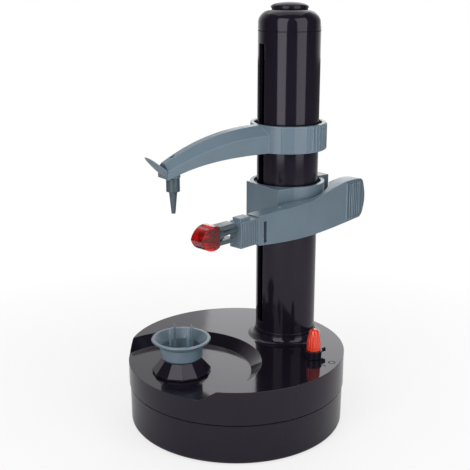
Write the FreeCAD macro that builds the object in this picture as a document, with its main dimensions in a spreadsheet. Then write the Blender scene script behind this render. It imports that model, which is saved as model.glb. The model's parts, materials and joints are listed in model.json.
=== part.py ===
import FreeCAD, Part
import Sketcher
import math
import os
import re
from FreeCAD import Placement, Rotation, Vector

# Electric potato peeler. The base stands on z = 0 with its centre over the origin.
# The line from the food axis to the tower axis is +X, and the peeling arm hangs on the -Y side.

doc = FreeCAD.newDocument("potato_peeler")
sheet = doc.addObject("Spreadsheet::Sheet", "Sizes")
# Driving dimensions in millimetres, degrees or counts
SIZES = {
    # Base
    "base_radius": 75,
    "base_taper": 1,
    "base_wall": 2.5,
    "bottom_round": 2.5,
    "foot_height": 0.8,
    "foot_radius": 6,
    "foot_inset": 17,
    "seam_height": 29,
    "seam_step": 0.6,
    "platform_top": 51.5,
    "dish_depth": 7,
    "dish_rim_radius": 54,
    "dish_floor_radius": 47,
    "food_inset": 30,
    # Tower
    "tower_inset": 32,
    "tower_radius": 21,
    "tower_wall": 2.5,
    "tower_length": 214.5,
    "socket_wall": 0.8,
    "socket_height": 7,
    "socket_flare": 5,
    "slot_width": 7.5,
    "slot_turn": 8,
    "slot_bottom": 64,
    "slot_top": 258,
    "cap_height": 13.7,
    "cap_round": 6.5,
    "plug_depth": 8,
    "knob_radius": 12.8,
    "knob_height": 5.3,
    "knob_round": 3,
    # Battery bay
    "cell_radius": 7.2,
    "cell_length": 50.5,
    "cell_gap": 0.6,
    "cell_count": 4,
    "bay_shift_x": 1,
    "bay_shift_y": 21,
    "bay_wall": 1.5,
    "door_thickness": 2,
    "door_gap": 0.3,
    "contact_thickness": 0.8,
    # Drive
    "plate_z": 31.5,
    "plate_thickness": 2,
    "plate_inset": 15,
    "plate_front": 16,
    "plate_back": 32,
    "post_radius": 4,
    "motor_y": 23,
    "motor_x": 1,
    "motor_radius": 12,
    "motor_length": 26,
    "motor_shaft": 1,
    "gear_module": 1.4,
    "pinion_teeth": 8,
    "wheel_teeth": 28,
    "idler_pinion_teeth": 10,
    "final_teeth": 26,
    "pinion_z": 34.1,
    "wheel_z": 34.5,
    "wheel_width": 3,
    "final_z": 38.1,
    "final_width": 3,
    "gear_pin_radius": 1.5,
    "shaft_gap": 0.05,
    "spindle_radius": 4,
    "screw_radius": 4,
    "bush_wall": 2.2,
    # Drive cone and food cup
    "cone_radius": 19.7,
    "cone_top_radius": 13,
    "cone_height": 9,
    "cone_lift": 0.6,
    "cone_facets": 12,
    "cup_radius": 14,
    "cup_height": 14,
    "cup_rim_radius": 19.8,
    "cup_rim_height": 5,
    "cup_wall": 1.6,
    "prong_ring": 8.5,
    "prong_radius": 1,
    "prong_length": 20,
    "prong_count": 4,
    # Power lever
    "lever_x": 31,
    "lever_y": 47,
    "lever_radius": 4.8,
    "lever_height": 17,
    "skirt_radius": 5.8,
    "skirt_height": 5.5,
    "skirt_point": 9.5,
    "lever_stem": 2.5,
    "switch_side": 12,
    "switch_thickness": 6,
    # Collars on the tower
    "collar_radius": 25.7,
    "collar_gap": 0.35,
    "collar_lip": 2.2,
    "collar_lip_depth": 2.5,
    # Upper arm
    "upper_z": 187.5,
    "upper_height": 18,
    "upper_width": 20,
    "upper_tip_width": 13,
    "spike_reach": 92,
    "crown_drop": 17.7,
    "belly_drop": 9.5,
    "shoulder_drop": 6.2,
    "upper_tip_past": 7,
    "grip_rib_count": 8,
    "grip_rib_depth": 0.6,
    "tab_length": 17,
    "tab_width": 15,
    "tab_thickness": 1.8,
    "spike_stem_radius": 4.4,
    "spike_stem_length": 8.5,
    "spike_length": 23,
    "spike_top_radius": 2.7,
    "spike_tip_radius": 1.3,
    "spike_pin_radius": 1.5,
    "spike_gap": 0.4,
    "key_width": 6.6,
    "key_reach": 13,
    # Peeling carriage
    "carriage_z": 139,
    "carriage_height": 26,
    "plate_face": 25.6,
    "plate_side_front": 22.8,
    "plate_side_back": 12.5,
    "pivot_reach": 33,
    "pivot_y": 34,
    "lug_radius": 3,
    "lug_z": 140.5,
    "lug_height": 12,
    "pivot_pin_radius": 1.25,
    "release_width": 13,
    "release_height": 9,
    "release_depth": 5.5,
    "release_z": 160,
    "release_turn": 4,
    "release_wall": 1.4,
    "nut_width": 6.4,
    "nut_height": 14,
    "nut_travel": 2,
    "nut_gap": 0.3,
    # Peeling arm, along its own x axis from the pivot
    "arm_turn": 12,
    "arm_face": 5.5,
    "arm_depth": 10.5,
    "arm_wall": 2.2,
    "arm_blade_end": 25.5,
    "arm_bottom": 133.6,
    "arm_top": 156.6,
    "arm_tip_bottom": 137.8,
    "paddle_start": 51,
    "paddle_top": 163.8,
    "paddle_end": 87,
    "paddle_corner": 82,
    "paddle_rib_count": 7,
    "paddle_rib_depth": 1,
    "relief_gap": 3,
    # Blade cartridge and head
    "grip_length": 16.5,
    "grip_height": 16.5,
    "grip_rib_pitch": 1.7,
    "grip_step": 0.6,
    "tongue_length": 13,
    "tongue_width": 5,
    "tongue_height": 9,
    "tongue_gap": 0.25,
    "head_drop": 5.6,
    "rod_radius": 1.8,
    "rod_length": 19,
    "head_gap": 0.06,
    "hub_radius": 3.6,
    "hub_length": 5,
    "fin_length": 14,
    "fin_width": 7,
    "fin_thickness": 2.6,
    "fin_spread": 4.6,
    "guard_length": 15.5,
    "guard_height": 12.5,
    "guard_depth": 9,
    "guard_wall": 1.2,
    "blade_thickness": 0.6,
    "blade_height": 8,
    # Fasteners
    "screw_inset": 11,
    "boss_radius": 3.5,
    "screw_shank": 1.4,
    "screw_head": 2.8,
    "screw_head_height": 1.6,
    "screw_length": 16,
}
for row, (name, value) in enumerate(SIZES.items(), start=1):
    sheet.set("A%d" % row, name)
    sheet.set("B%d" % row, str(value))
    sheet.setAlias("B%d" % row, name)

doc.recompute()

# Lengths that are the difference of two driving ones, so that they follow the base, the tower or the arm
DIFFERENCES = {
    "pivot_x": ("tower_offset", "pivot_reach"),
    "tower_offset": ("base_radius", "tower_inset"),
    "food_offset": ("base_radius", "food_inset"),
    "base_bottom_radius": ("base_radius", "base_taper"),
    "foot_ring": ("base_radius", "foot_inset"),
    "screw_ring": ("base_radius", "screw_inset"),
    "plate_half_length": ("base_radius", "plate_inset"),
    "head_z": ("arm_top", "head_drop"),
}
NAME = re.compile(r"\b(" + "|".join(sorted(SIZES, key=len, reverse=True)) + r")\b")


def link(expression):
    """Turn 'tower_radius - tower_wall' into an expression on the sheet."""
    text = str(expression)
    for name, (whole, part) in DIFFERENCES.items():
        text = re.sub(r"\b%s\b" % name, "(%s - %s)" % (whole, part), text)
    return NAME.sub(r"Sizes.\1", text)


def v(name):
    """Read a dimension for the shapes that are worked out by formula."""
    if name in DIFFERENCES:
        whole, part = DIFFERENCES[name]
        return v(whole) - v(part)
    return float(sheet.get(name))


def bind(obj, **properties):
    for key, expression in properties.items():
        obj.setExpression(key, link(expression))
    return obj


def place(obj, at=(0, 0, 0), turn=None):
    """Put an object at a bound place, turned about the vertical if asked."""
    if turn is not None:
        obj.Placement = Placement(Vector(0, 0, 0), Rotation(Vector(0, 0, 1), 1))
        obj.setExpression("Placement.Rotation.Angle", link(turn))
    for axis, expression in zip("xyz", at):
        if expression != 0:
            obj.setExpression("Placement.Base." + axis, link(expression))
    return obj


def cylinder(name, radius, height, at=(0, 0, 0)):
    obj = doc.addObject("Part::Cylinder", name)
    bind(obj, Radius=radius, Height=height)
    return place(obj, at)


def cone(name, bottom, top, height, at=(0, 0, 0)):
    obj = doc.addObject("Part::Cone", name)
    bind(obj, Radius1=bottom, Radius2=top, Height=height)
    return place(obj, at)


def box(name, length, width, height, at=(0, 0, 0), turn=None):
    obj = doc.addObject("Part::Box", name)
    bind(obj, Length=length, Width=width, Height=height)
    return place(obj, at, turn)


def fuse(label, *shapes):
    obj = doc.addObject("Part::MultiFuse", label)
    obj.Shapes = list(shapes)
    obj.Refine = True
    return obj


def cut(label, base, *tools):
    obj = doc.addObject("Part::Cut", label)
    obj.Base = base
    obj.Tool = tools[0] if len(tools) == 1 else fuse(label + "_tools", *tools)
    obj.Refine = True
    return obj


def common(label, *shapes):
    obj = doc.addObject("Part::MultiCommon", label)
    obj.Shapes = list(shapes)
    return obj


def ring(label, outer, inner, height, at=(0, 0, 0)):
    """A plain tube standing on the given place."""
    solid = cylinder(label + "_outer", outer, height, at)
    bore = cylinder(label + "_bore", inner, height, at)
    return cut(label, solid, bore)


def shape(label, solid, placement=Placement()):
    """A piece whose surface is worked out by formula from the sheet."""
    obj = doc.addObject("Part::Feature", label)
    obj.Shape = solid
    obj.Placement = placement
    return obj


def circle_edges(obj, radius, height=None):
    """Names of the round edges of a given radius, at a given height."""
    doc.recompute()
    names = []
    for i, edge in enumerate(obj.Shape.Edges):
        curve = edge.Curve
        if isinstance(curve, Part.Circle) and abs(curve.Radius - radius) < 0.01:
            if height is None or abs(curve.Center.z - height) < 0.01:
                names.append(i + 1)
    return names


def rounded(label, base, radius_name, edges):
    obj = doc.addObject("Part::Fillet", label)
    obj.Base = base
    obj.Edges = [(i, v(radius_name), v(radius_name)) for i in edges]
    return obj


def origin_plane(body, role):
    return [f for f in body.Origin.OriginFeatures if f.Role == role][0]


def outline(body, name, role, corners):
    """A closed outline on an origin plane. Each corner is two bound distances from the origin."""
    sketch = body.newObject("Sketcher::SketchObject", name)
    sketch.AttachmentSupport = [(origin_plane(body, role), "")]
    sketch.MapMode = "FlatFace"
    count = len(corners)
    rough = [Vector(10 + 5 * math.cos(2 * math.pi * i / count), 10 + 5 * math.sin(2 * math.pi * i / count), 0)
             for i in range(count)]
    for i in range(count):
        sketch.addGeometry(Part.LineSegment(rough[i], rough[(i + 1) % count]), False)
    for i in range(count):
        sketch.addConstraint(Sketcher.Constraint("Coincident", i, 2, (i + 1) % count, 1))
    for i, corner in enumerate(corners):
        for kind, expression in zip(("DistanceX", "DistanceY"), corner):
            index = sketch.addConstraint(Sketcher.Constraint(kind, -1, 1, i, 1, 10.0))
            sketch.setExpression("Constraints[%d]" % index, link(expression))
    return sketch


def turned_body(label, corners, at=(0, 0, 0)):
    """A turned piece: its half section is written as radius and height."""
    body = doc.addObject("PartDesign::Body", label)
    sketch = outline(body, label + "_section", "XZ_Plane", corners)
    turn = body.newObject("PartDesign::Revolution", label + "_turn")
    turn.Profile = sketch
    turn.ReferenceAxis = (sketch, ["V_Axis"])
    turn.Angle = 360
    place(body, at)
    return body


def soften(body, name, radius_name, radius, height):
    """Round the outer edge of a turned piece at a radius and height of its own frame."""
    doc.recompute()
    tip = body.Tip
    names = []
    for i, edge in enumerate(tip.Shape.Edges):
        curve = edge.Curve
        if isinstance(curve, Part.Circle) and abs(curve.Radius - radius) < 0.01:
            if abs(edge.BoundBox.ZMin - height) < 0.01:
                names.append("Edge%d" % (i + 1))
    fillet = body.newObject("PartDesign::Fillet", name)
    fillet.Base = (tip, names)
    bind(fillet, Radius=radius_name)
    return body


# Lower housing
def bay_box(name, extra, bottom, height):
    """The room for the cells, grown by an extra wall on every side."""
    length = "cell_count * (2 * cell_radius + cell_gap) + cell_gap + 2 * (%s)" % extra
    width = "cell_length + 8 * contact_thickness + 2 * (%s)" % extra
    return box(name, length, width, height,
               ("-bay_shift_x - (%s) / 2" % length, "-bay_shift_y - (%s) / 2" % width, bottom))


BAY_INSIDE = "door_thickness + 2 * cell_radius + 2 * cell_gap"
POST_AT = [(sx, sy) for sx in (1, -1) for sy in (1, -1)]


def post_place(sx, sy, z):
    edge = "plate_back" if sy > 0 else "plate_front"
    return ("%d * (plate_half_length - post_radius - 1)" % sx, "%d * (%s - post_radius - 1)" % (sy, edge), z)


def boss_place(i, z):
    angle = "(%d * 90 + 45)" % i
    return ("screw_ring * cos(%s)" % angle, "screw_ring * sin(%s)" % angle, z)


def lower_housing():
    shell = turned_body("lower_shell", [
        ("0", "foot_height"),
        ("base_bottom_radius", "foot_height"),
        ("base_radius - seam_step", "seam_height"),
        ("base_radius - base_wall", "seam_height"),
        ("base_bottom_radius - base_wall", "foot_height + base_wall"),
        ("0", "foot_height + base_wall")])
    soften(shell, "lower_round", "bottom_round", v("base_bottom_radius"), v("foot_height"))
    walls = bay_box("bay_outside", "bay_wall", "foot_height", BAY_INSIDE + " + bay_wall")
    solids = [shell, walls]
    for n, (sx, sy) in enumerate(POST_AT):
        solids.append(cylinder("plate_post_%d" % n, "post_radius", "plate_z - foot_height - base_wall / 2",
                               post_place(sx, sy, "foot_height + base_wall / 2")))
    holes = [bay_box("bay_room", "0", "foot_height", BAY_INSIDE)]
    for i in range(4):
        solids.append(cylinder("lower_boss_%d" % i, "boss_radius", "seam_height - foot_height - base_wall / 2",
                               boss_place(i, "foot_height + base_wall / 2")))
        holes.append(cylinder("lower_screw_hole_%d" % i, "screw_shank + shaft_gap", "seam_height",
                              boss_place(i, 0)))
        holes.append(cylinder("lower_head_hole_%d" % i, "screw_head + 0.3", "foot_height + 8",
                              boss_place(i, 0)))
    return cut("lower_housing", fuse("lower_mass", *solids), *holes)


# Upper housing with its dish and the socket of the tower
DISH_FLOOR = "platform_top - dish_depth"


def upper_housing():
    outer = cylinder("upper_outer", "base_radius", "platform_top - seam_height", (0, 0, "seam_height"))
    room = cylinder("upper_room", "base_radius - base_wall", "platform_top - seam_height - base_wall",
                    (0, 0, "seam_height"))
    under = cone("dish_under", "dish_floor_radius + base_wall", "dish_rim_radius + base_wall", "dish_depth",
                 ("-food_offset", 0, DISH_FLOOR + " - base_wall"))
    room_left = cut("upper_room_left", room, under)
    dish = cone("dish", "dish_floor_radius", "dish_rim_radius", "dish_depth", ("-food_offset", 0, DISH_FLOOR))
    shell = cut("upper_shell", outer, room_left, dish)
    socket = cylinder("tower_socket", "tower_radius + socket_wall", "socket_height",
                      ("tower_offset", 0, "platform_top"))
    bosses = []
    for i in range(4):
        ceiling = "platform_top" if i in (0, 3) else DISH_FLOOR
        bosses.append(cylinder("upper_boss_%d" % i, "boss_radius", ceiling + " - seam_height - base_wall / 2",
                               boss_place(i, "seam_height")))
    mass = fuse("upper_mass", shell, socket, *bosses)
    flare = rounded("upper_flare", mass, "socket_flare",
                    circle_edges(mass, v("tower_radius") + v("socket_wall"), v("platform_top")))
    holes = [
        cylinder("socket_bore", "tower_radius", "socket_height", ("tower_offset", 0, "platform_top")),
        cylinder("platform_bore", "tower_radius - tower_wall", "2 * base_wall",
                 ("tower_offset", 0, "platform_top - 2 * base_wall")),
        cylinder("spindle_bore", "spindle_radius + shaft_gap + bush_wall", "3 * base_wall",
                 ("-food_offset", 0, DISH_FLOOR + " - 2 * base_wall")),
        cylinder("lever_bore", "lever_stem + 2 * shaft_gap", "3 * base_wall",
                 ("lever_x", "-lever_y", "platform_top - 2 * base_wall"))]
    holes += [cylinder("upper_screw_hole_%d" % i, "screw_shank", "screw_length",
                       boss_place(i, "seam_height - screw_length / 2")) for i in range(4)]
    return cut("upper_housing", flare, *holes)


def rubber_feet():
    feet = [cylinder("foot_%d" % i, "foot_radius", "foot_height",
                     ("foot_ring * cos(%d)" % (90 * i), "foot_ring * sin(%d)" % (90 * i), 0)) for i in range(4)]
    return fuse("rubber_feet", *feet)


def housing_screws():
    screws = []
    for i in range(4):
        shank = cylinder("screw_shank_%d" % i, "screw_shank", "screw_length",
                         boss_place(i, "seam_height - screw_length / 2"))
        neck = cylinder("screw_neck_%d" % i, "screw_shank", "seam_height - screw_length / 2 - foot_height - 8",
                        boss_place(i, "foot_height + 8"))
        head = cylinder("screw_head_%d" % i, "screw_head", "screw_head_height",
                        boss_place(i, "foot_height + 8 - screw_head_height"))
        screws += [shank, neck, head]
    return fuse("housing_screws", *screws)


# Cells, contacts and door
def cell_x(i):
    return "-bay_shift_x + (%d - (cell_count - 1) / 2) * (2 * cell_radius + cell_gap)" % i


CELL_Z = "foot_height + door_thickness + cell_gap + cell_radius"


def battery_cells():
    cells = []
    for i in range(int(v("cell_count"))):
        can = cylinder("cell_can_%d" % i, "cell_radius", "cell_length - 1.5")
        nub = cylinder("cell_nub_%d" % i, "cell_radius * 0.38", "1.5", (0, 0, "cell_length - 1.5"))
        cell = fuse("cell_%d" % i, can, nub)
        side = 1 if i % 2 else -1
        cell.Placement = Placement(Vector(0, 0, 0), Rotation(Vector(1, 0, 0), -90 * side))
        place(cell, (cell_x(i), "-bay_shift_y - %d * cell_length / 2" % side, CELL_Z))
        cells.append(cell)
    return fuse("battery_cells", *cells)


def battery_contacts():
    plates = []
    for i in range(int(v("cell_count"))):
        for side in (1, -1):
            plates.append(box("contact_%d_%d" % (i, side + 1), "cell_radius", "4 * contact_thickness",
                              "cell_radius * 1.5",
                              (cell_x(i) + " - cell_radius / 2",
                               "-bay_shift_y + %d * (cell_length / 2 + 2 * contact_thickness)"
                               " - 2 * contact_thickness" % side,
                               CELL_Z + " - cell_radius * 0.75")))
    return fuse("battery_contacts", *plates)


def battery_door():
    return bay_box("battery_door", "-door_gap", "foot_height", "door_thickness")


# Drive train
def gear_centres():
    """Plan places of the motor, the two idlers and the two driven shafts."""
    module = v("gear_module")
    motor = Vector(-v("motor_x"), v("motor_y"), 0)
    near = module * (v("pinion_teeth") + v("wheel_teeth")) / 2
    far = module * (v("idler_pinion_teeth") + v("final_teeth")) / 2
    food = Vector(-v("food_offset"), 0, 0)
    tower = Vector(v("tower_offset"), 0, 0)

    def idler(end, side):
        line = end - motor
        span = line.Length
        along = (near ** 2 - far ** 2 + span ** 2) / (2 * span)
        across = math.sqrt(max(near ** 2 - along ** 2, 0))
        unit = line / span
        return motor + unit * along + Vector(-unit.y, unit.x, 0) * across * side
    return motor, idler(food, -1), idler(tower, 1), food, tower


def gear(teeth, width, bore, phase):
    """A spur gear with involute flanks and room between the teeth."""
    module = v("gear_module")
    pitch = module * teeth / 2
    base = pitch * math.cos(math.radians(20))
    tip = pitch + 0.8 * module
    root = pitch - 1.1 * module
    half_tooth = math.pi / (2 * teeth) * 0.84

    def flank(radius):
        if radius <= base:
            return 0.0
        angle = math.acos(base / radius)
        return math.tan(angle) - angle
    lean = flank(pitch)
    radii = [root, max(base, root + 0.01), pitch, tip]
    points = []
    for k in range(int(teeth)):
        middle = phase + 2 * math.pi * k / teeth
        for side, order in ((-1, radii), (1, reversed(radii))):
            for radius in order:
                angle = middle + side * (half_tooth + lean - flank(radius))
                points.append(Vector(radius * math.cos(angle), radius * math.sin(angle), 0))
    points.append(points[0])
    solid = Part.Face(Part.makePolygon(points)).extrude(Vector(0, 0, width))
    return solid.cut(Part.makeCylinder(bore, width)) if bore else solid


def phase_after(phase, teeth, direction, other_teeth):
    """Phase of the second gear of a mesh, so that its gap meets the first gear's tooth."""
    return direction + math.pi + (direction - phase) * teeth / other_teeth + math.pi / other_teeth


def heading(a, b):
    return math.atan2(b.y - a.y, b.x - a.x)


def gear_plate(centres):
    motor, left, right, food, tower = centres
    slab = box("plate_slab", "2 * plate_half_length", "plate_front + plate_back", "plate_thickness",
               ("-plate_half_length", "-plate_front", "plate_z"))
    screw_hole = cylinder("plate_screw_hole", "screw_radius + shaft_gap + bush_wall", "plate_thickness",
                          ("tower_offset", 0, "plate_z"))
    spindle_hole = cylinder("plate_spindle_hole", "spindle_radius + shaft_gap + bush_wall", "plate_thickness",
                            ("-food_offset", 0, "plate_z"))
    holes = [screw_hole, spindle_hole]
    for name, at, radius in (("motor", motor, "motor_shaft + 1"), ("left", left, "gear_pin_radius"),
                             ("right", right, "gear_pin_radius")):
        holes.append(cylinder("plate_hole_" + name, radius, "plate_thickness", (at.x, at.y, "plate_z")))
    return cut("gear_plate", slab, *holes)


def gear_pins(centres):
    pins = [cylinder("gear_pin_%d" % n, "gear_pin_radius", "final_z + final_width + 0.3 - plate_z",
                     (at.x, at.y, "plate_z")) for n, at in enumerate(centres[1:3])]
    return fuse("gear_pins", *pins)


def drive_motor(centres):
    at = centres[0]
    can = cylinder("motor_can", "motor_radius", "motor_length", (at.x, at.y, "plate_z - motor_length"))
    end = cylinder("motor_end", "motor_radius * 0.4", "1.5", (at.x, at.y, "plate_z - motor_length - 1.5"))
    bore = cylinder("motor_bore", "motor_shaft + shaft_gap", "motor_length",
                    (at.x, at.y, "plate_z - motor_length + 2"))
    return cut("drive_motor", fuse("motor_mass", can, end), bore)


def drive_gears(centres):
    motor, left, right, food, tower = centres
    p, w, q, f = v("pinion_teeth"), v("wheel_teeth"), v("idler_pinion_teeth"), v("final_teeth")
    nodes = []
    motor_phase = heading(motor, left)
    pinion = gear(p, v("wheel_z") + v("wheel_width") - v("pinion_z"), 0, motor_phase)
    shaft = Part.makeCylinder(v("motor_shaft"), v("pinion_z") - v("plate_z") + v("motor_length") - 4,
                              Vector(0, 0, v("plate_z") - v("motor_length") + 4 - v("pinion_z")))
    nodes.append(shape("motor_pinion", pinion.fuse(shaft), Placement(motor + Vector(0, 0, v("pinion_z")),
                                                                    Rotation())))
    bore = v("gear_pin_radius") + v("shaft_gap")
    for label, at, end, end_label in (("turntable_idler", left, food, "turntable_gear"),
                                      ("screw_idler", right, tower, "screw_gear")):
        wheel = gear(w, v("wheel_width"), bore, phase_after(motor_phase, p, heading(motor, at), w))
        start = heading(at, end)
        small = gear(q, v("final_z") + v("final_width") - v("wheel_z") - v("wheel_width"), bore, start)
        small.translate(Vector(0, 0, v("wheel_width")))
        nodes.append(shape(label, wheel.fuse(small), Placement(at + Vector(0, 0, v("wheel_z")), Rotation())))
        seat = v("spindle_radius") if end_label == "turntable_gear" else v("screw_radius")
        last = gear(f, v("final_width"), seat, phase_after(start, q, start, f))
        nodes.append(shape(end_label, last, Placement(end + Vector(0, 0, v("final_z")), Rotation())))
    return nodes


def turntable_spindle():
    return cylinder("turntable_spindle", "spindle_radius",
                    DISH_FLOOR + " + cone_lift + cone_height - plate_z", ("-food_offset", 0, "plate_z"))


def lead_screw():
    return cylinder("lead_screw", "screw_radius", "platform_top + tower_length - plug_depth / 2 - plate_z",
                    ("tower_offset", 0, "plate_z"))


def bushes():
    def bush(label, radius, height, at):
        return ring(label, radius + " + shaft_gap + bush_wall", radius + " + shaft_gap", height, at)
    return [
        bush("spindle_bush", "spindle_radius", "base_wall", ("-food_offset", 0, DISH_FLOOR + " - base_wall")),
        bush("spindle_lower_bush", "spindle_radius", "plate_thickness", ("-food_offset", 0, "plate_z")),
        bush("screw_lower_bush", "screw_radius", "plate_thickness", ("tower_offset", 0, "plate_z")),
        bush("screw_top_bush", "screw_radius", "plug_depth",
             ("tower_offset", 0, "platform_top + tower_length - plug_depth"))]


# Faceted drive cone and the cup that lifts off it
def drive_cone():
    count = int(v("cone_facets"))

    def rim(radius, z):
        points = [Vector(radius * math.cos(2 * math.pi * i / count), radius * math.sin(2 * math.pi * i / count), z)
                  for i in range(count + 1)]
        return Part.makePolygon(points)
    lip = 1.2
    skirt = Part.makeLoft([rim(v("cone_radius"), 0), rim(v("cone_radius"), lip)], True, True)
    slope = Part.makeLoft([rim(v("cone_radius"), lip), rim(v("cone_top_radius"), v("cone_height"))], True, True)
    bore = Part.makeCylinder(v("spindle_radius"), v("cone_height"))
    foot = Vector(-v("food_offset"), 0, v("platform_top") - v("dish_depth") + v("cone_lift"))
    return shape("drive_cone", skirt.fuse(slope).removeSplitter().cut(bore), Placement(foot, Rotation()))


CUP_Z = DISH_FLOOR + " + cone_lift + cone_height + 0.1"


def food_cup():
    rim_z = "cup_height - cup_rim_height"
    return turned_body("food_cup", [
        ("0", "0"),
        ("cup_radius - 1.5", "0"),
        ("cup_radius", "1.5"),
        ("cup_radius + 0.6", rim_z),
        ("cup_rim_radius - 1.4", "cup_height - 1.6"),
        ("cup_rim_radius", "cup_height - 0.8"),
        ("cup_rim_radius - 0.4", "cup_height"),
        ("cup_rim_radius - cup_wall - 0.6", "cup_height"),
        ("cup_radius + 0.6 - cup_wall", rim_z + " - 0.6"),
        ("cup_radius - cup_wall", "cup_wall"),
        ("0", "cup_wall")], ("-food_offset", 0, CUP_Z))


def cup_prongs():
    pins = []
    for i in range(int(v("prong_count"))):
        angle = "(%d * 360 / prong_count)" % i
        at = ["-food_offset + prong_ring * cos(%s)" % angle, "prong_ring * sin(%s)" % angle]
        foot = cone("prong_foot_%d" % i, "prong_radius * 2.2", "prong_radius", "cup_height * 0.5",
                    (at[0], at[1], CUP_Z + " + cup_wall"))
        pin = cylinder("prong_pin_%d" % i, "prong_radius", "prong_length - 3",
                       (at[0], at[1], CUP_Z + " + cup_wall"))
        tip = cone("prong_tip_%d" % i, "prong_radius", "prong_radius * 0.2", "3",
                   (at[0], at[1], CUP_Z + " + cup_wall + prong_length - 3"))
        pins += [foot, pin, tip]
    return fuse("cup_prongs", *pins)


# Power lever
def power_lever():
    body = turned_body("lever_body", [
        ("0", "0"),
        ("lever_radius", "0"),
        ("lever_radius * 0.92", "lever_height * 0.45"),
        ("lever_radius * 0.66", "lever_height"),
        ("0", "lever_height")], ("lever_x", "-lever_y", "platform_top + 0.4 + skirt_height"))
    soften(body, "lever_dome", "lever_radius * 0.5", v("lever_radius") * 0.66, v("lever_height"))
    return body


def lever_skirt():
    at = ("lever_x", "-lever_y", "platform_top + 0.4")
    collar = cone("skirt_collar", "skirt_radius * 0.92", "skirt_radius", "skirt_height", at)
    point = box("skirt_pointer", "skirt_point", "3", "skirt_height * 0.5",
                ("lever_x", "-lever_y - 1.5", "platform_top + 0.4 + skirt_height * 0.5"))
    stem = cylinder("skirt_stem", "lever_stem", "base_wall + 3",
                    ("lever_x", "-lever_y", "platform_top - base_wall - 2.6"))
    return fuse("lever_skirt", collar, point, stem)


def micro_switch():
    return box("micro_switch", "switch_side", "switch_side", "switch_thickness",
               ("lever_x - switch_side / 2", "-lever_y - switch_side / 2",
                "platform_top - base_wall - 3 - switch_thickness"))


# Tower
def at_tower(z):
    return ("tower_offset", 0, z)


def tower_tube():
    tube = ring("tower_pipe", "tower_radius", "tower_radius - tower_wall", "tower_length",
                at_tower("platform_top"))
    slot = box("tower_slot", "tower_radius + 5", "slot_width", "slot_top - slot_bottom",
               ("tower_offset + (slot_width / 2) * sin(180 - slot_turn)",
                "-(slot_width / 2) * cos(180 - slot_turn)", "slot_bottom"), "180 - slot_turn")
    return cut("tower_tube", tube, slot)


def tower_cap():
    cap = turned_body("cap_turned", [
        ("0", "plug_depth"),
        ("0", "plug_depth + cap_height"),
        ("tower_radius", "plug_depth + cap_height"),
        ("tower_radius", "plug_depth"),
        ("tower_radius - tower_wall - 0.1", "plug_depth"),
        ("tower_radius - tower_wall - 0.1", "0"),
        ("screw_radius + shaft_gap + bush_wall", "0"),
        ("screw_radius + shaft_gap + bush_wall", "plug_depth")],
        at_tower("platform_top + tower_length - plug_depth"))
    soften(cap, "cap_edge", "cap_round", v("tower_radius"), v("plug_depth") + v("cap_height"))
    cap.Label = "tower_cap"
    return cap


def top_knob():
    knob = turned_body("top_knob", [
        ("0", "0"),
        ("knob_radius", "0"),
        ("knob_radius", "knob_height - 0.6"),
        ("0", "knob_height")], at_tower("platform_top + tower_length + cap_height"))
    soften(knob, "knob_edge", "knob_round", v("knob_radius"), v("knob_height") - 0.6)
    return knob


# Collars that ride on the tower
def collar_mass(name, height, z):
    return cylinder(name, "collar_radius", height, at_tower(z))


def collar_bores(name, height, z):
    bore = cylinder(name + "_bore", "tower_radius + collar_gap", height, at_tower(z))
    lip = cylinder(name + "_lip", "tower_radius + collar_lip", "collar_lip_depth",
                   at_tower("%s + %s - collar_lip_depth" % (z, height)))
    return [bore, lip]


def arch_section(x, half, bottom, shoulder, crown):
    """Cross-section of the upper arm: upright sides, sloping shoulders and a flat crown."""
    flat = half * 0.35
    points = [(-half, bottom), (half, bottom), (half, shoulder), (flat, crown), (-flat, crown), (-half, shoulder)]
    corners = [Vector(x, y, z) for y, z in points]
    return Part.makePolygon(corners + [corners[0]])


def upper_arm():
    """Arched arm from the collar down to the spike, lofted through sections of falling height."""
    root_x = v("tower_offset") - v("tower_radius") - 2
    tip_x = v("tower_offset") - v("spike_reach") - v("upper_tip_past")
    root_top = v("upper_z") + v("upper_height")
    sections = []
    stations = 8
    for i in range(stations + 1):
        t = i / stations
        x = root_x + (tip_x - root_x) * t
        half = (v("upper_width") + (v("upper_tip_width") - v("upper_width")) * t) / 2
        top = root_top - v("crown_drop") * t ** 2.3
        bottom = v("upper_z") - v("belly_drop") * t ** 3
        shoulder = top - v("shoulder_drop") * (1 - 0.35 * t ** 6)
        sections.append(arch_section(x, half, bottom, shoulder, top))
    arch = shape("upper_arch", Part.makeLoft(sections, True, False))
    mass = [collar_mass("upper_collar_mass", "upper_height", "upper_z"), arch]
    count = int(v("grip_rib_count"))
    for i in range(count):
        angle = "(-88 + %d * 7)" % i
        mass.append(cylinder("grip_rib_%d" % i, "grip_rib_depth * 1.4", "upper_height - 1",
                             ("tower_offset + collar_radius * cos(%s)" % angle,
                              "collar_radius * sin(%s)" % angle, "upper_z + 0.5")))
    mass.append(cylinder("spike_boss", "spike_stem_radius + 0.4", "belly_drop",
                         ("tower_offset - spike_reach", 0, "upper_z - belly_drop")))
    pin = cylinder("upper_pin_bore", "spike_pin_radius + shaft_gap", "upper_height",
                   ("tower_offset - spike_reach", 0, "upper_z - belly_drop - 1"))
    return cut("upper_arm", fuse("upper_arm_mass", *mass),
               *collar_bores("upper_collar", "upper_height", "upper_z"), pin)


def slot_key(label, width, height, z, inner, outer):
    """A block that rides in the slot of the tower."""
    width = "(%s)" % width
    return box(label, "(%s) - (%s)" % (outer, inner), width, height,
               ("tower_offset + (%s) * cos(180 - slot_turn) + (%s / 2) * sin(180 - slot_turn)" % (inner, width),
                "(%s) * sin(180 - slot_turn) - (%s / 2) * cos(180 - slot_turn)" % (inner, width), z),
               "180 - slot_turn")


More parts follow.
